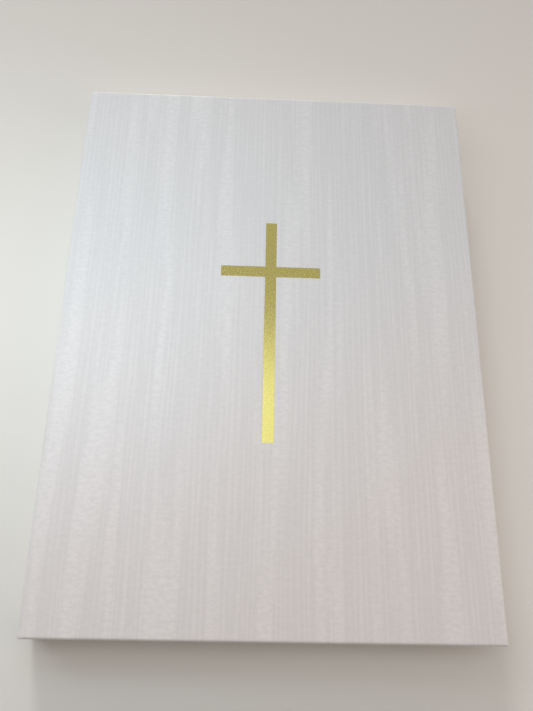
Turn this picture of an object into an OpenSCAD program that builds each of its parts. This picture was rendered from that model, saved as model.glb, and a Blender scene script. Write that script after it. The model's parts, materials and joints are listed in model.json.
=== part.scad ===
// Prayer book: a case-bound book covered in watered silk, with a gold foil cross on its front.
// The book lies closed on its back cover. Its origin is the middle of its underside, with +X
// towards the fore-edge, +Y towards the head and +Z up through the front cover.

/* [Cover] */
// Width of the book, from the back of the spine to the fore-edge
book_w = 230; // [190:1:260]
// Height of the book, from tail to head
book_h = 311; // [290:1:360]
// Thickness of the closed book
book_t = 22; // [16:0.5:40]
// Thickness of the board in each cover
board_t = 2.5; // [2:0.1:3.5]
// Thickness of the card strip in the spine
spine_card_t = 1.6; // [1:0.1:2]
// Thickness of the covering silk
cloth_t = 0.4; // [0.2:0.05:0.6]
// Width of the bare cloth hinge between the back of the spine and a cover's board
hinge_w = 6; // [5:0.5:10]
// Radius of the silk where it turns from the spine onto a cover
shoulder_r = 1.5; // [1:0.1:3]
// Width of silk turned over onto the inner face of a cover
turn_in = 15; // [10:1:20]
// Radius of the rounded edges of the covers
edge_r = 1.2; // [0.8:0.1:1.6]

/* [Cross] */
// Height of the cross
cross_h = 128; // [60:1:180]
// Span of its arms
cross_w = 56; // [30:1:120]
// Width of its two bars
cross_bar = 6.2; // [3:0.1:12]
// Distance from the top of the upright down to the middle of the arms
arm_drop = 31; // [15:1:50]
// Height of the foot of the cross above the tail edge of the cover
cross_foot = 93.5; // [40:0.5:105]
// Sideways offset of the cross from the middle of the cover
cross_offset = -0.5; // [-10:0.5:10]
// Depth that the hot stamp presses into the silk
stamp_depth = 0.15; // [0.12:0.01:0.18]
// Thickness of the gold foil
foil_t = 0.1; // [0.05:0.01:0.1]

/* [Pages] */
// Number of sewn sections
section_count = 12; // [4:1:20]
// Amount by which the covers stand out past the pages at head, tail and fore-edge
square_w = 4; // [2:0.5:6]
// Thickness of an endpaper, and of each loose leaf
leaf_t = 0.2; // [0.1:0.05:0.3]
// Air between a turning leaf and its neighbours
leaf_gap = 0.15; // [0.1:0.05:0.3]
// Cloth border left showing around a pasted-down endpaper
paste_border = 4; // [3:0.5:8]

/* [Sewing] */
// Number of linen tapes that the sections are sewn onto
tape_count = 4; // [2:1:5]
// Width of a tape
tape_w = 13; // [8:1:16]
// Distance between the middles of neighbouring tapes
tape_pitch = 64; // [40:1:66]
// Thickness of a tape, and of the thread that crosses it
tape_t = 0.3; // [0.2:0.05:0.3]
// Thickness of the gauze glued over the tapes
gauze_t = 0.3; // [0.2:0.05:0.3]
// Thickness of the kraft paper glued over the gauze
lining_t = 0.2; // [0.1:0.05:0.3]
// Radius of the woven bands at the head and tail of the spine
band_r = 0.9; // [0.6:0.1:1.1]
// Length of the flat tab that holds each woven band to the sections
band_tab = 13; // [8:1:14]

/* [Hidden] */
$fn = 48;
front_leaves = ["front_flyleaf", "title_leaf", "opening_leaf"];
SECTIONS = [for (i = [1 : section_count]) section_name(i)];

// Air between the silk on the spine and the edges of the loose leaves that hinge beside it
hinge_clearance = 0.2;

// Extents of the whole book
x_back = -book_w / 2;
x_fore = book_w / 2;
y_head = book_h / 2;

// A cover, from its outer face inwards: silk, board, turned-in silk, pasted-down endpaper
board_z = cloth_t;
window_z = board_z + board_t;
clothed_t = window_z + cloth_t;
cover_t = clothed_t + leaf_t;
board_x = x_back + hinge_w;

// The block of pages between the two covers
page_x = x_back + cloth_t + spine_card_t + lining_t + gauze_t + 2 * tape_t;
page_w = x_fore - square_w - page_x;
page_h = book_h - 2 * square_w;
leaf_pitch = leaf_t + leaf_gap;
block_z = cover_t + leaf_gap + leaf_pitch;
block_top = book_t - cover_t - leaf_gap - leaf_pitch * len(front_leaves);
section_t = (block_top - block_z) / section_count;

// The silk on the spine stands clear of both covers as they turn, and its card is as high as the block
spine_z = cover_t + leaf_gap;
spine_h = book_t - 2 * spine_z;
block_h = block_top - block_z;

// The loose leaves reach past the folds of the sections, to the silk that they hinge beside
leaf_x = x_back + cloth_t + hinge_clearance;
leaf_w = page_x + page_w - leaf_x;

// The layers between the spine card and the folds of the sections
lining_x = x_back + cloth_t + spine_card_t;
gauze_x = lining_x + lining_t;
thread_x = gauze_x + gauze_t;
tape_x = thread_x + tape_t;
tape_z = block_z + section_t / 4;
tape_h = block_h - section_t / 2;
tapes_span = tape_pitch * (tape_count - 1);
lining_h = tapes_span + 3 * tape_w;
stitch_overhang = 1;
kettle_y = page_h / 2 - band_tab - 3;

function section_name(i) = str("section_", i < 10 ? "0" : "", i);
function tape_y(i) = tape_pitch * i - tapes_span / 2;
function section_z(i) = block_z + section_t * (i - 1);

// A box given by its lowest corner and its size, centred along the height of the book
module slab(x, z, w, h, t) {
    translate([x, -h / 2, z])
        cube([w, h, t]);
}

// The same place on the front cover as on the back cover
module on_front() {
    translate([0, 0, book_t])
        mirror([0, 0, 1])
            children();
}

// A bar's end view with its right corners rounded, and its left ones if wanted
module rounded_end(w, t, r, left) {
    start = left ? r : 0;
    translate([start, 0])
        square([w - r - start, t]);
    translate([start, r])
        square([w - start, t - 2 * r]);
    if (left)
        translate([0, r])
            square([r, t - 2 * r]);
    for (x = left ? [r, w - r] : [w - r])
        for (z = [r, t - r])
            translate([x, z])
                circle(r);
}

// A flat board with rounded edges at the fore-edge, head and tail, and a square spine edge
module rounded_board(w, h, t, r) {
    intersection() {
        translate([board_x, 0, 0])
            rotate([90, 0, 0])
                linear_extrude(height = h, center = true)
                    rounded_end(w, t, r, false);
        translate([board_x, -h / 2, 0])
            rotate([90, 0, 90])
                linear_extrude(height = w)
                    rounded_end(h, t, r, true);
    }
}

module board() {
    translate([0, 0, board_z])
        rounded_board(x_fore - cloth_t - board_x, book_h - 2 * cloth_t, board_t, edge_r - cloth_t);
}

// The silk of one cover: its outer sheet and the flaps turned in over three edges
module cover_cloth() {
    window_w = x_fore - turn_in - board_x;
    difference() {
        rounded_board(x_fore - board_x, book_h, clothed_t, edge_r);
        board();
        slab(board_x - 1, window_z - 0.2, window_w + 1, book_h - 2 * turn_in, cloth_t + 1);
    }
}

// The end view of the space bounded by a sheet that turns from the spine onto a cover
module shoulder_space(inset) {
    translate([x_back + shoulder_r, shoulder_r])
        circle(shoulder_r - inset);
    translate([x_back + inset, shoulder_r])
        square([2 * hinge_w, 2 * cover_t]);
    translate([x_back + shoulder_r, inset])
        square([2 * hinge_w, 2 * cover_t]);
}

// The silk between the spine and a board, rounded over the shoulder of the book
module hinge_cloth() {
    rotate([90, 0, 0])
        linear_extrude(height = book_h, center = true)
            intersection() {
                translate([x_back, 0])
                    square([hinge_w, cover_t]);
                difference() {
                    shoulder_space(0);
                    shoulder_space(cloth_t);
                }
            }
}

// An endpaper pasted over the turned-in silk, and down onto the board inside it
module pastedown() {
    paste_w = x_fore - paste_border - page_x;
    paste_h = book_h - 2 * paste_border;
    window_end = x_fore - turn_in;
    window_h = book_h - 2 * turn_in;
    difference() {
        slab(page_x, window_z, paste_w, paste_h, cloth_t + leaf_t);
        slab(page_x - 1, window_z + leaf_t, window_end - leaf_t - page_x + 1, window_h - 2 * leaf_t, 1);
        difference() {
            slab(page_x - 1, window_z - 1, paste_w + 2, paste_h + 2, cloth_t + 1);
            slab(page_x - 2, window_z - 2, window_end - page_x + 2, window_h, cloth_t + 4);
        }
    }
}

module cross_outline() {
    translate([cross_offset, cross_foot - y_head]) {
        translate([-cross_bar / 2, 0])
            square([cross_bar, cross_h]);
        translate([-cross_w / 2, cross_h - arm_drop - cross_bar / 2])
            square([cross_w, cross_bar]);
    }
}

module front_board() {
    color("#8c8880")
        on_front()
            board();
}

module front_cover_cloth() {
    color("#e4e3ea")
        difference() {
            on_front()
                cover_cloth();
            translate([0, 0, book_t - stamp_depth])
                linear_extrude(height = 1)
                    cross_outline();
        }
}

module front_hinge_cloth() {
    color("#dddce4")
        on_front()
            hinge_cloth();
}

module gold_cross() {
    color("#c9b250")
        translate([0, 0, book_t - stamp_depth])
            linear_extrude(height = foil_t)
                cross_outline();
}

module front_pastedown() {
    color("#f2efe6")
        on_front()
            pastedown();
}

module back_board() {
    color("#8c8880")
        board();
}

module back_cover_cloth() {
    color("#e4e3ea")
        cover_cloth();
}

module back_hinge_cloth() {
    color("#dddce4")
        hinge_cloth();
}

module back_pastedown() {
    color("#f2efe6")
        pastedown();
}

module spine_card() {
    color("#9a958a")
        slab(x_back + cloth_t, block_z, spine_card_t, book_h - 2 * cloth_t, block_h);
}

// The silk on the spine, turned in over both ends of the card
module spine_cloth() {
    color("#e4e3ea")
        difference() {
            union() {
                slab(x_back, spine_z, cloth_t, book_h, spine_h);
                slab(x_back, block_z, spine_card_t + 2 * cloth_t, book_h, block_h);
            }
            slab(x_back + cloth_t, 0, spine_card_t, book_h - 2 * cloth_t, book_t);
            slab(lining_x - 0.2, 0, cloth_t + 1, book_h - 2 * turn_in, book_t);
        }
}

module spine_lining() {
    color("#b48a5a")
        slab(lining_x, block_z, lining_t, lining_h, block_h);
}

module spine_gauze() {
    color("#e8e2cf")
        slab(gauze_x, block_z, gauze_t, lining_h, block_h);
}

module sewing_tapes() {
    color("#efe8d6")
        for (i = [0 : tape_count - 1])
            translate([0, tape_y(i), 0])
                slab(tape_x, tape_z, tape_t, tape_w, tape_h);
}

// One stitch over a tape: a strand across its outer face and a leg down each side of it
module stitch() {
    thread = tape_t;
    reach = tape_w + 2 * stitch_overhang;
    slab(thread_x, -thread / 2, thread, reach, thread);
    for (side = [-1, 1])
        translate([0, side * (reach - thread) / 2, 0])
            slab(thread_x, -thread / 2, 2 * tape_t, thread, thread);
}

module sewing_thread() {
    color("#f6f3ea") {
        for (i = [0 : tape_count - 1])
            for (k = [1 : section_count])
                translate([0, tape_y(i), section_z(k) + section_t / 2])
                    stitch();
        for (side = [-1, 1])
            translate([0, side * kettle_y, 0])
                slab(tape_x, tape_z, tape_t, tape_t, tape_h);
    }
}

// A woven band across one end of the pages, on a flat tab glued to the backs of the sections
module end_band() {
    translate([page_x + band_r * 0.8, page_h / 2 + band_r, block_z])
        cylinder(r = band_r, h = block_h);
    translate([tape_x, page_h / 2 - band_tab, block_z])
        cube([tape_t, band_tab + band_r, block_h]);
}

module headband() {
    color("#cdb768")
        end_band();
}

module tailband() {
    color("#cdb768")
        mirror([0, 1, 0])
            end_band();
}

// One loose leaf, counted down from the front cover
module front_leaf(n) {
    color("#f4f1e8")
        slab(leaf_x, book_t - cover_t - leaf_pitch * n, leaf_w, page_h, leaf_t);
}

module back_flyleaf() {
    color("#f4f1e8")
        slab(leaf_x, cover_t + leaf_gap, leaf_w, page_h, leaf_t);
}

// Folded sheets with a rounded fold at the spine, counted up from the back cover
module section(i) {
    fold_r = section_t / 2;
    color("#f0ead8")
        translate([0, 0, section_z(i)]) {
            slab(page_x + fold_r, 0, page_w - fold_r, page_h, section_t);
            translate([page_x + fold_r, 0, fold_r])
                rotate([90, 0, 0])
                    cylinder(r = fold_r, h = page_h, center = true);
        }
}

front_board();
front_cover_cloth();
front_hinge_cloth();
gold_cross();
front_pastedown();
back_board();
back_cover_cloth();
back_hinge_cloth();
back_pastedown();
spine_card();
spine_cloth();
spine_lining();
spine_gauze();
sewing_tapes();
sewing_thread();
headband();
tailband();
back_flyleaf();
for (n = [1 : len(front_leaves)])
    front_leaf(n);
for (i = [1 : section_count])
    section(i);
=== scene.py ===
"""Looks of the closed prayer book: silk covers, gold cross, endpapers, folded sections, bands.

Lengths are in metres, in the frame of the CAD model. Places come from the CAD nodes' boxes.
"""

import bmesh
import bpy
import json
import math
import numpy as np
from mathutils import Matrix, Vector


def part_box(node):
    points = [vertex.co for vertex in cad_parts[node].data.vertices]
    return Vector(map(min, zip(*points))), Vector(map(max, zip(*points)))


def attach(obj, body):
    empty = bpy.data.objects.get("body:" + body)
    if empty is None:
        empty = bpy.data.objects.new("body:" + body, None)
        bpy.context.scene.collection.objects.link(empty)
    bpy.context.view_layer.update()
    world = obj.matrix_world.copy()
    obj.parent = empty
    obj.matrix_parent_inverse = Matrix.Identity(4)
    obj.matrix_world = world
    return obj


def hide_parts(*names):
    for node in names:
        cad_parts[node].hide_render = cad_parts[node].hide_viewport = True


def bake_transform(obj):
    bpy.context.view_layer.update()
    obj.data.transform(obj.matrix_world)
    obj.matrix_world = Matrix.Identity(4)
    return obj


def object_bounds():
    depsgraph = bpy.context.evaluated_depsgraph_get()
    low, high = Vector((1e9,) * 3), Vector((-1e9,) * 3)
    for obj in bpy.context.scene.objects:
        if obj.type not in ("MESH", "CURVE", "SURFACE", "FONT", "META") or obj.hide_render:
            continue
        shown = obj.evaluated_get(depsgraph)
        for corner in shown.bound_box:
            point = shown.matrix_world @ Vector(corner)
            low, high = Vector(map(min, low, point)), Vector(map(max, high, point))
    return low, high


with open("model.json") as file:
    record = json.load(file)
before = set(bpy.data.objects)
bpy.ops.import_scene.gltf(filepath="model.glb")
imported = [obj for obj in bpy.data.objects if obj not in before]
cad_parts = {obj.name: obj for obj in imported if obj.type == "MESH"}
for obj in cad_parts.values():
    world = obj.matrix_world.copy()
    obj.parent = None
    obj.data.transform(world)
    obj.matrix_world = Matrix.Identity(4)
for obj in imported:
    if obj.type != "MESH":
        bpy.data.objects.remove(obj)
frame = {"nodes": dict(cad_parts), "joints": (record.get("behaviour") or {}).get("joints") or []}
CAD_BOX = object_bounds()

MM = 0.001

# The same lengths as in the CAD model
EDGE_R = 1.2 * MM
TURN_IN = 15 * MM
STAMP_DEPTH = 0.15 * MM
LEAF_T = 0.2 * MM

# Silk: its thickness, the radius under a cover's edge and the layers in the joint
SILK_T = 0.22 * MM
UNDER_EDGE_R = 0.9 * MM
JOINT_LAYERS = 0.8 * MM
# The round where the silk comes over the spine, and how far the joint dips after it
SHOULDER_R = 1.5 * MM
SHOULDER_DROP = 0.5 * MM
# A zone below and above the hinge line, and inwards, where the real silk bends as a cover swings;
# make_silk works out its ends but does not bend the silk
BEND_BELOW = 0.125 * MM
BEND_ABOVE = 2.075 * MM
# The distance between its ribs, and how many watered lines there are in a metre across
RIB_PITCH = 0.42 * MM
LINES_PER_METRE = 350.0
# The width of the slope into the stamped cross, and the depth of the crease along a mitre
STAMP_WALL = 0.12 * MM
MITRE_CREASE = 0.12 * MM

# Paper: pasted down, loose, over the spine card (half of it) and in a section (half of it)
PASTED_T = 0.15 * MM
LOOSE_T = 0.13 * MM
GUARD_HALF_T = 0.02 * MM
SHEET_HALF_T = 0.063 * MM
LEAVES_IN_SECTION = 8

# Foil, and the round of a woven band with the pitch of its threads and of its stripes
FOIL_T = 0.08 * MM
BAND_R = 0.9 * MM
THREAD_PITCH = 0.55 * MM
STRIPE_PITCH = 2.4 * MM

# The weaves of the gauze and of the tapes
GAUZE_PITCH = 1.1 * MM
TAPE_PITCH = 0.6 * MM

# Edges that turn by more than this stay crisp
CRISP = math.radians(28)


def low(node):
    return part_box(node)[0]


def high(node):
    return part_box(node)[1]


X_BACK = low("spine_cloth").x
X_FORE = high("front_cover_cloth").x
Y_HEAD = high("front_cover_cloth").y
Z_TOP = high("front_cover_cloth").z
BOARD_X = low("front_board").x
COVER_T = Z_TOP - low("front_pastedown").z
CLOTHED_T = Z_TOP - low("front_cover_cloth").z
WINDOW_T = Z_TOP - low("front_board").z
SPINE_LAYERS = high("spine_cloth").x - X_BACK
CARD_TOP = high("spine_card").z
PAGE_Y = high("section_01").y
SECTIONS = sorted(name for name in frame["nodes"] if name.startswith("section_"))
AXIS_Z = next(j["pos_m"][2] for j in frame["joints"] if j["name"] == "front_cover_hinge")


# ---------------------------------------------------------------- geometry helpers

def smooth(t):
    """A soft step from 0 to 1, as t goes from 0 to 1."""
    t = min(1.0, max(0.0, t))
    return t * t * (3 - 2 * t)


def ripple(x, y, width, seed):
    """A gentle unevenness from -1 to 1, with humps about as wide as width."""
    rng = np.random.default_rng(seed)
    total = 0.0
    for _ in range(5):
        turn, phase = rng.uniform(0, 2 * math.pi, 2)
        step = 2 * math.pi / (width * rng.uniform(1.5, 3.0))
        total += math.sin((x * math.cos(turn) + y * math.sin(turn)) * step + phase)
    return total / 5


def spaced(start, end, step):
    """Points from start to end, evenly spread and about step apart."""
    count = max(1, round(abs(end - start) / step))
    return [start + (end - start) * k / count for k in range(count + 1)]


def merged(*lists, apart=0.04 * MM):
    """All the values in order, leaving out those that crowd an earlier list's."""
    kept = []
    for values in lists:
        kept += [v for v in values if all(abs(v - k) > apart for k in kept)]
    return sorted(kept)


def new_piece(name, verts, faces, uvs=None):
    """A mesh object in the scene, whose UV map is in metres."""
    mesh = bpy.data.meshes.new(name)
    mesh.from_pydata([tuple(v) for v in verts], [], faces)
    layer = mesh.uv_layers.new(name="UVMap")
    if uvs is None:
        uvs = [(v[0], v[1]) for v in verts]
    for loop in mesh.loops:
        layer.data[loop.index].uv = uvs[loop.vertex_index]
    piece = bpy.data.objects.new(name, mesh)
    bpy.context.scene.collection.objects.link(piece)
    return piece


def finish_mesh(piece, up=None, sharp=CRISP):
    """Welds points that coincide, turns the faces outwards and sets which edges are sharp."""
    mesh = piece.data
    bm = bmesh.new()
    bm.from_mesh(mesh)
    bmesh.ops.remove_doubles(bm, verts=bm.verts, dist=0.002 * MM)
    bmesh.ops.recalc_face_normals(bm, faces=bm.faces)
    if up is not None:
        outer = max(bm.faces, key=lambda f: f.calc_center_median().z * up)
        if outer.normal.z * up < 0:
            bmesh.ops.reverse_faces(bm, faces=bm.faces)
    bm.to_mesh(mesh)
    bm.free()
    mesh.shade_smooth()
    mesh.set_sharp_from_angle(angle=sharp)
    return piece


def thicken(piece, thickness, offset=-1.0):
    """Gives a sheet its thickness, inwards from its surface or centred on it at offset 0."""
    layer = piece.modifiers.new("thickness", "SOLIDIFY")
    layer.thickness = thickness
    layer.offset = offset
    bpy.context.view_layer.update()
    shown = piece.evaluated_get(bpy.context.evaluated_depsgraph_get())
    thick = bpy.data.meshes.new_from_object(shown)
    thin = piece.data
    piece.modifiers.clear()
    piece.data = thick
    bpy.data.meshes.remove(thin)
    thick.name = piece.name
    thick.set_sharp_from_angle(angle=CRISP)


def grid_faces(columns, rows):
    """Quads of a grid whose point (i, j) has the number i * rows + j."""
    return [
        (i * rows + j, (i + 1) * rows + j, (i + 1) * rows + j + 1, i * rows + j + 1)
        for i in range(columns - 1)
        for j in range(rows - 1)
    ]


def mirrored(verts):
    """The same points on the back cover."""
    return [(x, y, Z_TOP - z) for x, y, z in verts]


def ribbon(path, half, y_low, y_high):
    """A strip of paper whose end view follows path, as (verts, faces)."""
    normals = []
    for k in range(len(path)):
        ax, az = path[max(0, k - 1)]
        bx, bz = path[min(len(path) - 1, k + 1)]
        length = math.hypot(bx - ax, bz - az)
        normals.append((-(bz - az) / length * half, (bx - ax) / length * half))
    outline = [(x + n[0], z + n[1]) for (x, z), n in zip(path, normals)]
    outline += [(x - n[0], z - n[1]) for (x, z), n in reversed(list(zip(path, normals)))]
    total = len(outline)
    verts = [(x, y, z) for y in (y_low, y_high) for x, z in outline]
    faces = [(k, (k + 1) % total, total + (k + 1) % total, total + k) for k in range(total)]
    for k in range(len(path) - 1):
        ring = (k, k + 1, total - 2 - k, total - 1 - k)
        faces.append(ring[::-1])
        faces.append(tuple(total + v for v in ring))
    return verts, faces


# ---------------------------------------------------------------- covering silk

def silk_stations():
    """The silk's end view from the middle of the spine to the fore-edge, over the joint.

    Each station is (u, x, z, inward direction, depth of the layers wrapped at head and tail),
    where u is the length along the silk.
    """
    tilt = math.atan(2 * SHOULDER_DROP / (BOARD_X - X_BACK - SHOULDER_R))
    round_end = math.pi / 2 - tilt
    centre_x = X_BACK + SHOULDER_R
    slope_x = centre_x - SHOULDER_R * math.cos(round_end)
    slope_w = BOARD_X - slope_x
    centre_z = Z_TOP - SHOULDER_DROP - SHOULDER_R * math.sin(round_end)
    spine = merged(spaced(Z_TOP / 2, CARD_TOP, 1.3 * MM), spaced(CARD_TOP, centre_z, 0.2 * MM))
    places = [(X_BACK, z, 0.0) for z in spine]
    for turn in spaced(0, round_end, math.radians(10))[1:]:
        x = centre_x - SHOULDER_R * math.cos(turn)
        z = centre_z + SHOULDER_R * math.sin(turn)
        places.append((x, z, turn))
    for x in spaced(slope_x, BOARD_X, 0.5 * MM)[1:]:
        away = (BOARD_X - x) / slope_w
        z = Z_TOP - SHOULDER_DROP * away**2
        places.append((x, z, math.pi / 2 - math.atan(2 * SHOULDER_DROP * away / slope_w)))
    card_fade = 0.7 * MM
    stations, u, last = [], 0.0, places[0]
    for x, z, turn in places:
        u += math.hypot(x - last[0], z - last[1])
        last = (x, z)
        card = smooth((CARD_TOP + card_fade - z) / card_fade)
        cover = smooth((x - slope_x) / slope_w)
        depth = JOINT_LAYERS + (SPINE_LAYERS - JOINT_LAYERS) * card
        depth += (CLOTHED_T - JOINT_LAYERS) * cover
        stations.append((u, x, z, (math.cos(turn), -math.sin(turn)), depth))
    return stations


def near_corner(limit, sign):
    """Grid lines close to a corner, the same on both of its sides, so that the mitre closes."""
    flap = TURN_IN - EDGE_R
    return [limit - sign * d for d in (0, 0.5 * MM, 1.6 * MM, 4.5 * MM, 9 * MM, flap)]


def cross_lines(axis):
    """The edges of the cross along one axis, from the CAD mesh."""
    mesh = frame["nodes"]["gold_cross"].data
    return sorted({round(v.co[axis], 6) for v in mesh.vertices})


CROSS_X, CROSS_Y = cross_lines(0), cross_lines(1)


def in_cross(x, y, margin=0.01 * MM):
    """Whether a point lies on the cross, or within margin of it."""
    upright = CROSS_X[1] - margin <= x <= CROSS_X[2] + margin
    arms = CROSS_Y[1] - margin <= y <= CROSS_Y[2] + margin
    inside = CROSS_X[0] - margin <= x <= CROSS_X[3] + margin
    within = CROSS_Y[0] - margin <= y <= CROSS_Y[3] + margin
    return (upright and within) or (arms and inside)


def wall_lines(edges):
    """The edges of the stamped cross, and lines outside them for the slope down into it."""
    near = [edge - STAMP_WALL for edge in edges[:2]] + [edge + STAMP_WALL for edge in edges[2:]]
    return list(edges) + near + [edges[0] - 3 * STAMP_WALL, edges[3] + 3 * STAMP_WALL]


def wrap_profile(depth, flap):
    """How the silk turns over an edge, as (outwards, inwards, length along the silk)."""
    first = min(EDGE_R, depth / 2)
    second = min(UNDER_EDGE_R, depth - first)
    points = []
    for k in range(1, 6):
        turn = math.pi / 2 * k / 5
        points.append((EDGE_R * math.sin(turn), first * (1 - math.cos(turn))))
    for k in range(1, 5):
        turn = math.pi / 2 * k / 4
        outwards = EDGE_R - UNDER_EDGE_R * (1 - math.cos(turn))
        points.append((outwards, depth - second * (1 - math.sin(turn))))
    edge = EDGE_R - UNDER_EDGE_R
    reach = edge + flap
    for share in (0.3, 0.65, 0.93, 1.0):
        points.append((edge - share * reach, depth))
    length, last, out = 0.0, (0.0, 0.0), []
    for a, b in points:
        length += math.hypot(a - last[0], b - last[1])
        last = (a, b)
        out.append((a, b, length))
    return out


def silk_edge(stations, ys, x_in, y_in):
    """The free edge from the tail of the spine, round the corners, to its head.

    Each place is (station, row, direction outwards, distance from the corner).
    """
    corner, last_row = len(stations) - 1, len(ys) - 1
    turns = [math.pi / 2 * k / 6 for k in range(1, 6)]
    edge = [(i, 0, (0, -1), x_in - s[1]) for i, s in enumerate(stations)]
    edge += [(corner, 0, (math.sin(turn), -math.cos(turn)), 0.0) for turn in turns]
    edge += [(corner, j, (1, 0), y_in - abs(y)) for j, y in enumerate(ys)]
    edge += [(corner, last_row, (math.cos(turn), math.sin(turn)), 0.0) for turn in turns]
    edge += [(i, last_row, (0, 1), x_in - s[1]) for i, s in reversed(list(enumerate(stations)))]
    return edge


def silk_mesh(stamped, seed):
    """(verts, faces, uvs) of one half of the silk, made for the front cover."""
    joint = silk_stations()
    y_in, x_in = Y_HEAD - EDGE_R, X_FORE - EDGE_R
    step, fade_w, joint_fade_w = 4.5 * MM, 12 * MM, 10 * MM
    hump_h, hump_w = 0.03 * MM, 30 * MM
    xs_first = near_corner(x_in, 1) + [BOARD_X]
    ys_first = near_corner(y_in, 1) + near_corner(-y_in, -1)
    if stamped:
        xs_first += wall_lines(CROSS_X)
        ys_first += wall_lines(CROSS_Y)
    xs = merged(xs_first, spaced(BOARD_X, x_in, step), apart=0.11 * MM)
    ys = merged(ys_first, spaced(-y_in, y_in, step), apart=0.11 * MM)
    u_board = joint[-1][0]
    stations = joint + [(u_board + x - BOARD_X, x, Z_TOP, (0, -1), CLOTHED_T) for x in xs[1:]]
    verts, uvs = [], []
    for u, x, z, _, _ in stations:
        for y in ys:
            fade = smooth((x_in - x) / fade_w) * smooth((y_in - abs(y)) / fade_w)
            fade *= smooth((x - BOARD_X) / joint_fade_w)
            lift = hump_h * fade * ripple(x, y, hump_w, seed)
            drop = STAMP_DEPTH if stamped and in_cross(x, y) else 0.0
            verts.append((x, y, z - drop + (0 if drop else lift)))
            uvs.append((u, y))
    rows = len(ys)
    faces = grid_faces(len(stations), rows)
    full = TURN_IN - EDGE_R
    rings = []
    for i, j, out, from_corner in silk_edge(stations, ys, x_in, y_in):
        u, x, z, inward, depth = stations[i]
        y = ys[j]
        flap = min(full, max(0.0, from_corner))
        ring = [i * rows + j]
        profile = wrap_profile(depth, flap)
        for n, (a, b, length) in enumerate(profile):
            if n == len(profile) - 1 and from_corner <= full + 0.01 * MM:
                b -= MITRE_CREASE
            ring.append(len(verts))
            verts.append((x + out[0] * a + inward[0] * b, y + out[1] * a, z + inward[1] * b))
            uvs.append((u + out[0] * length, y + out[1] * length))
        rings.append(ring)
    for one, two in zip(rings, rings[1:]):
        for k in range(len(one) - 1):
            face = [one[k], one[k + 1], two[k + 1], two[k]]
            if face[0] == face[3]:
                face.pop()
            faces.append(tuple(face))
    return verts, faces, uvs


def make_silk(name, stamped, seed, nodes):
    """Half of the covering silk, from the middle of the spine over one cover."""
    verts, faces, uvs = silk_mesh(stamped, seed)
    side = 1 if stamped else -1
    if side < 0:
        verts = mirrored(verts)
    piece = finish_mesh(new_piece(name, verts, faces, uvs), up=side)
    thicken(piece, SILK_T)
    piece.data.materials.append(watered_silk())
    start_z = AXIS_Z - BEND_BELOW
    end_z = AXIS_Z + BEND_ABOVE
    if side < 0:
        start_z, end_z = Z_TOP - start_z, Z_TOP - end_z
    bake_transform(piece)
    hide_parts(*nodes)


# ---------------------------------------------------------------- gold cross

def make_cross():
    """The foil in the stamped cross: a grid with a fine unevenness, which gives it its grain."""
    top = high("gold_cross").z
    step, apart = 1.2 * MM, 0.3 * MM
    sink, grain = 0.01 * MM, 0.006 * MM
    xs = merged(CROSS_X, spaced(CROSS_X[0], CROSS_X[3], step), apart=apart)
    ys = merged(CROSS_Y, spaced(CROSS_Y[0], CROSS_Y[3], step), apart=apart)
    rng = np.random.default_rng(11)
    verts = [(x, y, top - sink + grain * rng.uniform(-1, 1)) for x in xs for y in ys]
    faces = []
    for face in grid_faces(len(xs), len(ys)):
        x = sum(verts[v][0] for v in face) / 4
        y = sum(verts[v][1] for v in face) / 4
        if in_cross(x, y, margin=0):
            faces.append(face)
    used = sorted({v for face in faces for v in face})
    number = {v: k for k, v in enumerate(used)}
    faces = [tuple(number[v] for v in face) for face in faces]
    piece = new_piece("gold_foil_cross", [verts[v] for v in used], faces)
    finish_mesh(piece, up=1)
    thicken(piece, FOIL_T)
    piece.data.materials.append(gold_foil())
    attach(piece, "front_cover")
    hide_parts("gold_cross")


# ---------------------------------------------------------------- endpapers and leaves

def make_pastedown(name, node, front):
    """The endpaper inside a cover, with the step over the turned-in silk, and its joint."""
    x_end, y_end = high(node).x, high(node).y
    x_start = X_BACK + 0.4 * MM
    x_step, y_step = X_FORE - TURN_IN, Y_HEAD - TURN_IN
    ramp, fine, coarse = 1.0 * MM, 0.2 * MM, 6 * MM
    hump_h, hump_w = 0.012 * MM, 20 * MM
    turn = [x_step - ramp * k / 4 for k in range(5)]
    joint, board = spaced(x_start, BOARD_X, fine), spaced(BOARD_X, x_end, coarse)
    xs = merged(joint, turn, board, apart=0.19 * MM)
    ends = [s * (y_step - ramp * k / 4) for s in (-1, 1) for k in range(5)]
    ys = merged([-y_end, y_end], ends, spaced(-y_end, y_end, coarse), apart=fine)
    verts = []
    for x in xs:
        for y in ys:
            window = smooth((x_step - x) / ramp) * smooth((y_step - abs(y)) / ramp)
            window *= smooth((x - x_start) / (BOARD_X - x_start))
            z = Z_TOP - COVER_T + (COVER_T - WINDOW_T - LEAF_T) * window
            z += hump_h * ripple(x, y, hump_w, 5)
            verts.append((x, y, z))
    side = -1 if front else 1
    piece = new_piece(name, verts if front else mirrored(verts), grid_faces(len(xs), len(ys)))
    finish_mesh(piece, up=side)
    thicken(piece, PASTED_T)
    piece.data.materials.append(endpaper())
    z = Z_TOP - COVER_T if front else COVER_T
    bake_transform(piece)
    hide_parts(node)


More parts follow.
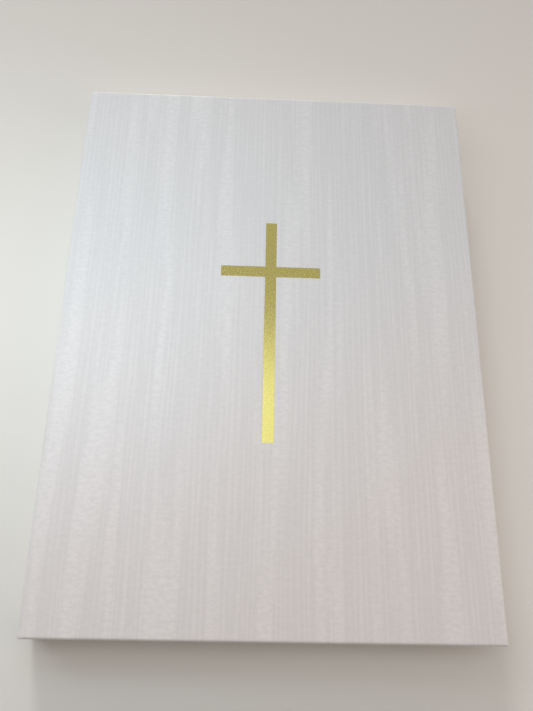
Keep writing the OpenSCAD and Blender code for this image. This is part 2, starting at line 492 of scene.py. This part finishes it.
def make_leaf(node, seed, material):
    """A loose leaf, with a faint unevenness that fades out next to the spine, where its grid is
    finer.
    """
    lo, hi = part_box(node)
    z = (lo.z + hi.z) / 2
    hump_h, hump_w, fade_w = 0.03 * MM, 45 * MM, 30 * MM
    near_spine = spaced(lo.x, lo.x + 6 * MM, 0.2 * MM)
    xs = merged(near_spine, spaced(lo.x, hi.x, 7 * MM), apart=0.19 * MM)
    ys = spaced(lo.y, hi.y, 10 * MM)
    verts = []
    for x in xs:
        for y in ys:
            fade = smooth((x - lo.x) / fade_w)
            verts.append((x, y, z + hump_h * fade * ripple(x, y, hump_w, seed)))
    piece = new_piece(node + "_sheet", verts, grid_faces(len(xs), len(ys)))
    finish_mesh(piece, up=1)
    thicken(piece, LOOSE_T, offset=0)
    piece.data.materials.append(material)
    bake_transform(piece)
    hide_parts(node)


def make_guards():
    """Strips of endpaper over the top and bottom of the spine card, seen when a cover is open."""
    start, end = X_BACK + 0.5 * MM, low("section_01").x + 1.6 * MM
    clear = 0.04 * MM
    heights = {"front_guard": CARD_TOP + clear, "back_guard": low("spine_card").z - clear}
    for name, z in heights.items():
        path = [(x, z) for x in spaced(start, end, 1 * MM)]
        verts, faces = ribbon(path, GUARD_HALF_T, -PAGE_Y, PAGE_Y)
        piece = finish_mesh(new_piece(name, verts, faces))
        piece.data.materials.append(endpaper())
        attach(piece, "page_block")


# ---------------------------------------------------------------- sewn sections

def make_section(node, seed):
    """Folded sheets nested in one another, each a little off from its neighbours."""
    lo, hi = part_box(node)
    rng = np.random.default_rng(seed)
    pitch = (hi.z - lo.z) / LEAVES_IN_SECTION
    middle, fold = (lo.z + hi.z) / 2, (hi.z - lo.z) / 2
    ragged_fore, ragged_ends = 0.22 * MM, 0.12 * MM
    between = (hi.x - 70 * MM, lo.x + 60 * MM)
    verts, faces = [], []
    for k in range(LEAVES_IN_SECTION // 2):
        r = fold - (k + 0.5) * pitch
        ends = hi.x - rng.uniform(0, ragged_fore, 2)
        path = [(ends[0], middle + r)]
        path += [(x, middle + r) for x in between]
        path += [
            (lo.x + fold - r * math.sin(t), middle + r * math.cos(t))
            for t in spaced(0, math.pi, math.pi / 8)
        ]
        path += [(x, middle - r) for x in reversed(between)]
        path.append((ends[1], middle - r))
        inset = rng.uniform(0, ragged_ends, 2)
        more, quads = ribbon(path, SHEET_HALF_T, lo.y + inset[0], hi.y - inset[1])
        faces += [tuple(v + len(verts) for v in f) for f in quads]
        verts += more
    piece = finish_mesh(new_piece(node + "_sheets", verts, faces))
    piece.data.materials.append(text_paper())
    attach(piece, "page_block")
    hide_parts(node)


# ---------------------------------------------------------------- woven bands

def make_band(node, head):
    """Thread wound side by side round a cord, over its flat tab."""
    lo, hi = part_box(node)
    sign = 1 if head else -1
    centre_x = hi.x - BAND_R
    centre_y = sign * (max(abs(lo.y), abs(hi.y)) - BAND_R)
    around, step, cap_h = 20, 0.09 * MM, 0.35 * MM
    heights = spaced(lo.z, hi.z, step)
    verts, faces, uvs = [], [], []
    for z in heights:
        close = min(z - lo.z, hi.z - z) / cap_h
        cap = math.sin(math.pi / 2 * min(1.0, 0.25 + 0.75 * close))
        for k in range(around):
            angle = 2 * math.pi * k / around
            ridge = abs(math.sin(math.pi * z / THREAD_PITCH + angle / 2))
            r = BAND_R * cap * (0.9 + 0.1 * ridge)
            verts.append((centre_x + r * math.cos(angle), centre_y + r * math.sin(angle), z))
            uvs.append((angle * BAND_R, z))
    for i in range(len(heights) - 1):
        one, two = i * around, (i + 1) * around
        for k in range(around):
            n = (k + 1) % around
            faces.append((one + k, one + n, two + n, two + k))
    for base in (0, (len(heights) - 1) * around):
        faces.append(tuple(base + k for k in range(around)))
    tab_x, tab_half_t = lo.x + 0.15 * MM, 0.12 * MM
    inner = sign * min(abs(lo.y), abs(hi.y))
    y_low, y_high = sorted((inner, centre_y))
    more, quads = ribbon([(tab_x, lo.z), (tab_x, hi.z)], tab_half_t, y_low, y_high)
    faces += [tuple(v + len(verts) for v in f) for f in quads]
    uvs += [(y, z) for _, y, z in more]
    verts += more
    piece = finish_mesh(new_piece(node + "_thread", verts, faces, uvs), sharp=math.radians(50))
    piece.data.materials.append(woven_band())
    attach(piece, "page_block")
    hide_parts(node)


# ---------------------------------------------------------------- materials

class Look:
    """The nodes of a material or of the world, under construction.

    Inputs are numbers, colours or other nodes' outputs.
    """

    made = {}
    sockets = {
        "base_color": "Base Color",
        "metallic": "Metallic",
        "roughness": "Roughness",
        "specular_level": "Specular IOR Level",
        "sheen_weight": "Sheen Weight",
        "sheen_roughness": "Sheen Roughness",
        "normal": "Normal",
    }

    def __init__(self, owner):
        owner.use_nodes = True
        self.owner = owner
        self.tree = owner.node_tree
        self.tree.nodes.clear()

    def node(self, kind, inputs=(), **settings):
        n = self.tree.nodes.new(kind)
        for key, value in settings.items():
            setattr(n, key, value)
        for key, value in dict(inputs).items():
            if isinstance(value, bpy.types.NodeSocket):
                self.tree.links.new(value, n.inputs[key])
            else:
                n.inputs[key].default_value = value
        return n

    def coordinates(self, scale, kind="UV", turn=0.0):
        """Coordinates multiplied by scale, from the UV map or the object."""
        source = self.node("ShaderNodeTexCoord").outputs[kind]
        mapping = self.node(
            "ShaderNodeMapping", {"Vector": source, "Scale": scale, "Rotation": (0, 0, turn)}
        )
        return mapping.outputs["Vector"]

    def noise(self, vector, detail=2.0, roughness=0.5, distortion=0.0):
        return self.node(
            "ShaderNodeTexNoise",
            {
                "Vector": vector,
                "Scale": 1.0,
                "Detail": detail,
                "Roughness": roughness,
                "Distortion": distortion,
            },
        ).outputs["Fac"]

    def math(self, operation, *values):
        return self.node(
            "ShaderNodeMath", dict(enumerate(values)), operation=operation
        ).outputs["Value"]

    def spread(self, value, low_in, high_in, low_out, high_out):
        """Value carried from one range to another, without going past its ends."""
        return self.node(
            "ShaderNodeMapRange",
            {
                "Value": value,
                "From Min": low_in,
                "From Max": high_in,
                "To Min": low_out,
                "To Max": high_out,
            },
            interpolation_type="SMOOTHSTEP",
        ).outputs["Result"]

    def ramp(self, value, *stops):
        """Colour for a value, from stops of (place, colour)."""
        n = self.node("ShaderNodeValToRGB", {"Fac": value})
        while len(n.color_ramp.elements) < len(stops):
            n.color_ramp.elements.new(0.5)
        for element, (place, colour) in zip(n.color_ramp.elements, stops):
            element.position = place
            element.color = (*colour, 1)
        return n.outputs["Color"]

    def mix(self, share, one, two, blend_type="MIX"):
        """One colour carried towards another, or multiplied by it.

        The node takes its colours in at 6 and 7, and gives the result out at 2.
        """
        return self.node(
            "ShaderNodeMix",
            {"Factor": share, 6: one, 7: two},
            data_type="RGBA",
            blend_type=blend_type,
        ).outputs[2]

    def bump(self, height, distance, strength=1.0, normal=None):
        inputs = {"Height": height, "Distance": distance, "Strength": strength}
        if normal is not None:
            inputs["Normal"] = normal
        return self.node("ShaderNodeBump", inputs).outputs["Normal"]

    def surface(self, **inputs):
        """The finished material, with these inputs on its shader."""
        named = {self.sockets[key]: value for key, value in inputs.items()}
        shader = self.node("ShaderNodeBsdfPrincipled", named)
        out = self.node("ShaderNodeOutputMaterial", {"Surface": shader.outputs["BSDF"]})
        out.is_active_output = True
        return self.owner


def once(build):
    """Makes a material the first time it is asked for, and hands back the same one later."""

    def ask():
        name = build.__name__
        if name not in Look.made:
            Look.made[name] = build(Look(bpy.data.materials.new(name)))
        return Look.made[name]

    return ask


@once
def watered_silk(look):
    """White ribbed silk with a watered figure: crinkled pale bands, and fine lines between them.

    Warm light on the tail and cooler light further up are painted into it: its colour turns a
    little warmer toward the tail of the book.
    """
    place = look.node("ShaderNodeSeparateXYZ", {"Vector": look.coordinates((1, 1, 1))}).outputs
    across, headwards = place["X"], place["Y"]
    drift = look.noise(look.coordinates((22, 3, 1)), detail=3.0)
    wander = look.noise(look.coordinates((150, 4, 1)), detail=2.0)
    phase = look.math("MULTIPLY", across, LINES_PER_METRE)
    phase = look.math("MULTIPLY_ADD", drift, 3.0, phase)
    phase = look.math("MULTIPLY_ADD", wander, 2.0, phase)
    lines = look.math("SINE", look.math("MULTIPLY", phase, 2 * math.pi))
    lines = look.spread(lines, -0.7, 1.0, 0.0, 1.0)
    broken = look.noise(look.coordinates((300, 16, 1)), detail=3.0)
    broken = look.spread(broken, 0.3, 0.65, 0.0, 1.0)
    bands = look.noise(look.coordinates((85, 5, 1)), detail=3.0, roughness=0.5)
    bands = look.spread(bands, 0.49, 0.63, 0.0, 1.0)
    crimps = look.noise(look.coordinates((300, 560, 1)), detail=3.0, roughness=0.65)
    crimps = look.spread(crimps, 0.3, 0.7, 0.0, 1.0)
    threads = look.noise(look.coordinates((1300, 900, 1)), detail=2.0, roughness=0.7)
    between = look.math("SUBTRACT", 1.0, bands)
    lined = look.math("MULTIPLY", look.math("MULTIPLY", lines, broken), between)
    crinkled = look.math("MULTIPLY", bands, look.math("MULTIPLY_ADD", crimps, 0.7, 0.5))
    figure = look.math("MULTIPLY_ADD", lined, 0.7, crinkled)
    fine = look.math("MULTIPLY_ADD", crimps, 0.25, look.math("MULTIPLY", threads, 0.5))
    colour = look.ramp(
        look.math("MULTIPLY_ADD", figure, 0.5, fine),
        (0.15, (0.79, 0.79, 0.8)),
        (1.0, (0.9, 0.9, 0.91)),
    )
    # Painted light: a tint, cool toward the head and warm toward the tail, stands in for the cool
    # and warm light falling there.
    painted_warm_light = look.math("MULTIPLY_ADD", drift, 0.06, headwards)
    painted_warm_light = look.spread(painted_warm_light, -0.1, 0.12, 1.0, 0.0)
    tint = look.ramp(painted_warm_light, (0.0, (0.98, 0.99, 1.0)), (1.0, (1.03, 0.975, 0.955)))
    colour = look.mix(1.0, colour, tint, "MULTIPLY")
    roughness = look.spread(figure, 0.0, 1.0, 0.5, 0.4)
    ribs = look.math("MULTIPLY", headwards, 1 / RIB_PITCH)
    ribs = look.math("MULTIPLY_ADD", threads, 1.6, ribs)
    ribs = look.math("SINE", look.math("MULTIPLY", ribs, 2 * math.pi))
    normal = look.bump(ribs, 0.012 * MM, 0.8)
    normal = look.bump(fine, 0.06 * MM, 0.6, normal)
    normal = look.bump(figure, 0.1 * MM, 0.5, normal)
    return look.surface(
        base_color=colour,
        roughness=roughness,
        specular_level=0.45,
        sheen_weight=0.15,
        sheen_roughness=0.4,
        normal=normal,
    )


@once
def gold_foil(look):
    """Hot-stamped gold foil, with the grain of the silk under it."""
    grain = look.noise(look.coordinates((1000, 1250, 1)), detail=3.0, roughness=0.8)
    cloudy = look.noise(look.coordinates((500, 700, 1)), detail=2.0)
    colour = look.ramp(
        look.math("MULTIPLY_ADD", cloudy, 0.4, look.math("MULTIPLY", grain, 0.6)),
        (0.3, (0.8, 0.71, 0.23)),
        (0.7, (0.87, 0.78, 0.27)),
    )
    roughness = look.spread(grain, 0.3, 0.7, 0.18, 0.32)
    normal = look.bump(grain, 0.04 * MM, 0.7)
    return look.surface(base_color=colour, metallic=1.0, roughness=roughness, normal=normal)


def paper_look(look, dark, light, fibre):
    """Paper: faint cloudiness and a fibrous surface."""
    cloud = look.noise(look.coordinates((60, 60, 60), "Object"), detail=4.0, roughness=0.6)
    fibres = look.noise(
        look.coordinates((fibre, fibre * 0.55, fibre), "Object"), detail=3.0, distortion=0.6
    )
    colour = look.ramp(
        look.math("MULTIPLY_ADD", fibres, 0.4, look.math("MULTIPLY", cloud, 0.6)),
        (0.3, dark),
        (0.7, light),
    )
    roughness = look.spread(fibres, 0.3, 0.7, 0.75, 0.92)
    return colour, roughness, look.bump(fibres, 0.04 * MM, 0.6)


@once
def endpaper(look):
    colour, roughness, normal = paper_look(look, (0.83, 0.8, 0.735), (0.88, 0.86, 0.8), 900)
    return look.surface(base_color=colour, roughness=roughness, specular_level=0.25, normal=normal)


@once
def text_paper(look):
    """Book paper, each sheet a little lighter or darker than the next."""
    colour, roughness, normal = paper_look(look, (0.84, 0.81, 0.73), (0.89, 0.865, 0.8), 1400)
    sheet = look.node("ShaderNodeNewGeometry").outputs["Random Per Island"]
    tint = look.ramp(sheet, (0.0, (0.9, 0.89, 0.86)), (1.0, (1.0, 1.0, 1.0)))
    colour = look.mix(1.0, colour, tint, "MULTIPLY")
    return look.surface(base_color=colour, roughness=roughness, specular_level=0.2, normal=normal)


@once
def greyboard(look):
    colour, roughness, normal = paper_look(look, (0.3, 0.28, 0.25), (0.42, 0.4, 0.36), 700)
    return look.surface(base_color=colour, roughness=roughness, specular_level=0.2, normal=normal)


@once
def kraft_paper(look):
    colour, roughness, normal = paper_look(look, (0.36, 0.23, 0.12), (0.47, 0.31, 0.17), 800)
    return look.surface(base_color=colour, roughness=roughness, specular_level=0.2, normal=normal)


def woven_look(look, dark, light, pitch):
    """A plain weave of threads, seen from behind the spine."""
    per_metre = 1 / pitch
    threads = [
        look.node(
            "ShaderNodeTexWave",
            {"Vector": look.coordinates(scale, "Object"), "Scale": 0.31, "Distortion": 0.6},
            bands_direction=way,
        ).outputs["Fac"]
        for way, scale in (("Y", (0, per_metre, 0)), ("Z", (0, 0, per_metre)))
    ]
    weave = look.math("MAXIMUM", *threads)
    slub = look.noise(look.coordinates((900, 900, 900), "Object"), detail=3.0)
    colour = look.ramp(
        look.math("MULTIPLY_ADD", slub, 0.5, look.math("MULTIPLY", weave, 0.5)),
        (0.2, dark),
        (0.8, light),
    )
    return colour, look.spread(slub, 0.3, 0.7, 0.7, 0.9), look.bump(weave, 0.08 * MM, 0.8)


@once
def gauze(look):
    dark, light = (0.5, 0.46, 0.36), (0.8, 0.77, 0.66)
    colour, roughness, normal = woven_look(look, dark, light, GAUZE_PITCH)
    return look.surface(base_color=colour, roughness=roughness, specular_level=0.2, normal=normal)


@once
def linen_tape(look):
    dark, light = (0.66, 0.6, 0.48), (0.86, 0.82, 0.71)
    colour, roughness, normal = woven_look(look, dark, light, TAPE_PITCH)
    return look.surface(base_color=colour, roughness=roughness, specular_level=0.2, normal=normal)


@once
def linen_thread(look):
    twist = look.noise(look.coordinates((500, 2200, 2200), "Object", 0.6), detail=2.0)
    colour = look.ramp(twist, (0.3, (0.74, 0.7, 0.6)), (0.7, (0.9, 0.88, 0.8)))
    return look.surface(
        base_color=colour,
        roughness=look.spread(twist, 0.3, 0.7, 0.55, 0.8),
        specular_level=0.3,
        normal=look.bump(twist, 0.06 * MM, 0.8),
    )


@once
def woven_band(look):
    """Gold and cream thread in turn along the band."""
    place = look.node("ShaderNodeSeparateXYZ", {"Vector": look.coordinates((1, 1, 1), "Object")})
    along = place.outputs["Z"]
    stripe = look.math("SINE", look.math("MULTIPLY", along, 2 * math.pi / STRIPE_PITCH))
    fine = look.noise(look.coordinates((900, 900, 5200), "Object"), detail=2.0)
    stripe = look.math("MULTIPLY_ADD", fine, 0.5, stripe)
    colour = look.ramp(
        look.spread(stripe, 0.0, 0.5, 0.0, 1.0),
        (0.3, (0.62, 0.47, 0.17)),
        (0.7, (0.88, 0.85, 0.76)),
    )
    return look.surface(
        base_color=colour,
        roughness=look.spread(fine, 0.3, 0.7, 0.4, 0.62),
        specular_level=0.4,
        sheen_weight=0.3,
        sheen_roughness=0.35,
        normal=look.bump(fine, 0.05 * MM, 0.8),
    )


@once
def studio_floor(look):
    """A pale matt table top."""
    mottle = look.noise(look.coordinates((2, 2, 1), "Object"), detail=3.0)
    fine = look.noise(look.coordinates((700, 700, 1), "Object"), detail=2.0)
    colour = look.ramp(mottle, (0.3, (0.89, 0.865, 0.82)), (0.7, (0.91, 0.89, 0.85)))
    return look.surface(
        base_color=colour,
        roughness=look.spread(fine, 0.3, 0.7, 0.72, 0.82),
        specular_level=0.12,
        normal=look.bump(fine, 0.02 * MM, 0.3),
    )


def paint(node, material):
    """Gives a CAD node that is kept a detailed material."""
    piece = frame["nodes"][node]
    for slot in piece.material_slots:
        slot.material = material
    if not piece.material_slots:
        piece.data.materials.append(material)


# ---------------------------------------------------------------- studio

def make_floor():
    """A plain table top that reaches far past the book, just under it."""
    reach, step, clear = 12.0, 1.0, 0.1 * MM
    ticks = spaced(-reach, reach, step)
    level = CAD_BOX[0].z - clear
    verts = [(x, y, level) for x in ticks for y in ticks]
    piece = new_piece("studio_table", verts, grid_faces(len(ticks), len(ticks)))
    finish_mesh(piece, up=1)
    piece.data.materials.append(studio_floor())


def make_camera():
    """Above the tail of the book, tilted back a little and slightly turned."""
    azimuth, elevation, roll = (math.radians(a) for a in (4.97, 71.9, 6.37))
    aim = Vector((-2.0 * MM, -14.8 * MM, Z_TOP))
    distance = 0.316
    ahead = Vector(
        (
            math.sin(azimuth) * math.cos(elevation),
            math.cos(azimuth) * math.cos(elevation),
            -math.sin(elevation),
        )
    )
    level = Vector((math.cos(azimuth), -math.sin(azimuth), 0))
    above = level.cross(ahead)
    right = level * math.cos(roll) + above * math.sin(roll)
    up = above * math.cos(roll) - level * math.sin(roll)
    data = bpy.data.cameras.new("camera")
    data.lens = 29.68
    data.sensor_width = 36
    data.clip_start = 0.01
    data.clip_end = 50
    camera = bpy.data.objects.new("camera", data)
    turn = Matrix((right, up, -ahead)).transposed()
    camera.matrix_world = Matrix.Translation(aim - ahead * distance) @ turn.to_4x4()
    bpy.context.scene.collection.objects.link(camera)
    bpy.context.scene.camera = camera


def make_panel(name, place, aim, size, power, colour):
    """A rectangular soft box at place, turned toward aim. Its power is in watts."""
    data = bpy.data.lights.new(name, "AREA")
    data.shape = "RECTANGLE"
    data.size, data.size_y = size
    data.energy = power
    data.color = colour
    panel = bpy.data.objects.new(name, data)
    panel.location = place
    panel.visible_camera = False
    panel.rotation_mode = "QUATERNION"
    panel.rotation_quaternion = (Vector(aim) - Vector(place)).to_track_quat("-Z", "Y")
    bpy.context.scene.collection.objects.link(panel)


def make_sky():
    """A room that is dim over the tail, bright over the head and pale all round at eye level."""
    look = Look(bpy.data.worlds.new("studio"))
    way = look.node("ShaderNodeTexCoord").outputs["Generated"]
    parts = look.node("ShaderNodeSeparateXYZ", {"Vector": way}).outputs
    headwards = look.node("ShaderNodeMapRange", {"Value": parts["Y"], "From Min": -1.0})
    overhead = look.ramp(
        headwards.outputs["Result"],
        (0.0, (0.1, 0.09, 0.08)),
        (0.5, (0.17, 0.16, 0.15)),
        (1.0, (0.68, 0.66, 0.67)),
    )
    rise = {"Value": parts["Z"], "From Min": 0.12, "From Max": 0.4}
    above = look.node("ShaderNodeMapRange", rise).outputs["Result"]
    shown = look.mix(above, (0.52, 0.505, 0.49, 1), overhead)
    light = look.node("ShaderNodeBackground", {"Color": shown})
    look.node("ShaderNodeOutputWorld", {"Surface": light.outputs["Background"]})
    bpy.context.scene.world = look.owner


def make_sun(toward, strength, angle, colour):
    """A broad far light, from the direction toward."""
    data = bpy.data.lights.new("window", "SUN")
    data.energy = strength
    data.angle = angle
    data.color = colour
    sun = bpy.data.objects.new("window", data)
    sun.rotation_mode = "QUATERNION"
    sun.rotation_quaternion = (-Vector(toward)).to_track_quat("-Z", "Y")
    bpy.context.scene.collection.objects.link(sun)


def make_light():
    """Soft boxes over the book and its spine, at the right and at the left, and a far window."""
    make_panel(
        "key",
        place=(-0.07, 0.03, 0.62),
        aim=(-0.07, 0.03, 0),
        size=(0.95, 0.32),
        power=0.79,
        colour=(0.94, 0.97, 0.97),
    )
    make_panel(
        "strip",
        place=(-0.21, 0.015, 0.2),
        aim=(-0.21, 0.015, 0),
        size=(0.36, 0.1),
        power=0.2,
        colour=(0.78, 0.93, 1.0),
    )
    make_panel(
        "right",
        place=(0.55, -0.1, 0.45),
        aim=(0.05, -0.05, 0),
        size=(0.3, 0.4),
        power=0.65,
        colour=(1.0, 0.8, 0.68),
    )
    make_panel(
        "left",
        place=(-0.55, 0.3, 0.35),
        aim=(-0.12, 0.12, 0),
        size=(0.3, 0.3),
        power=0.3,
        colour=(1.0, 0.95, 0.88),
    )
    make_sun(
        toward=(-0.15, 0.9, 0.3),
        strength=1.1,
        angle=math.radians(14),
        colour=(0.98, 0.97, 0.95),
    )
    make_sky()
    bpy.context.scene.view_settings.view_transform = "Standard"


# ---------------------------------------------------------------- the book

make_camera()
make_light()
make_floor()

make_silk(
    "front_silk",
    stamped=True,
    seed=3,
    nodes=("front_cover_cloth", "front_hinge_cloth", "spine_cloth"),
)
make_silk(
    "back_silk",
    stamped=False,
    seed=4,
    nodes=("back_cover_cloth", "back_hinge_cloth"),
)
make_cross()

make_pastedown("front_endpaper", "front_pastedown", front=True)
make_pastedown("back_endpaper", "back_pastedown", front=False)
make_leaf("front_flyleaf", 21, endpaper())
make_leaf("title_leaf", 22, text_paper())
make_leaf("opening_leaf", 23, text_paper())
make_leaf("back_flyleaf", 24, endpaper())
make_guards()

for seed, section in enumerate(SECTIONS, start=100):
    make_section(section, seed)
make_band("headband", head=True)
make_band("tailband", head=False)

for kept, finish in (
    ("front_board", greyboard()),
    ("back_board", greyboard()),
    ("spine_card", greyboard()),
    ("spine_lining", kraft_paper()),
    ("spine_gauze", gauze()),
    ("sewing_tapes", linen_tape()),
    ("sewing_thread", linen_thread()),
):
    paint(kept, finish)
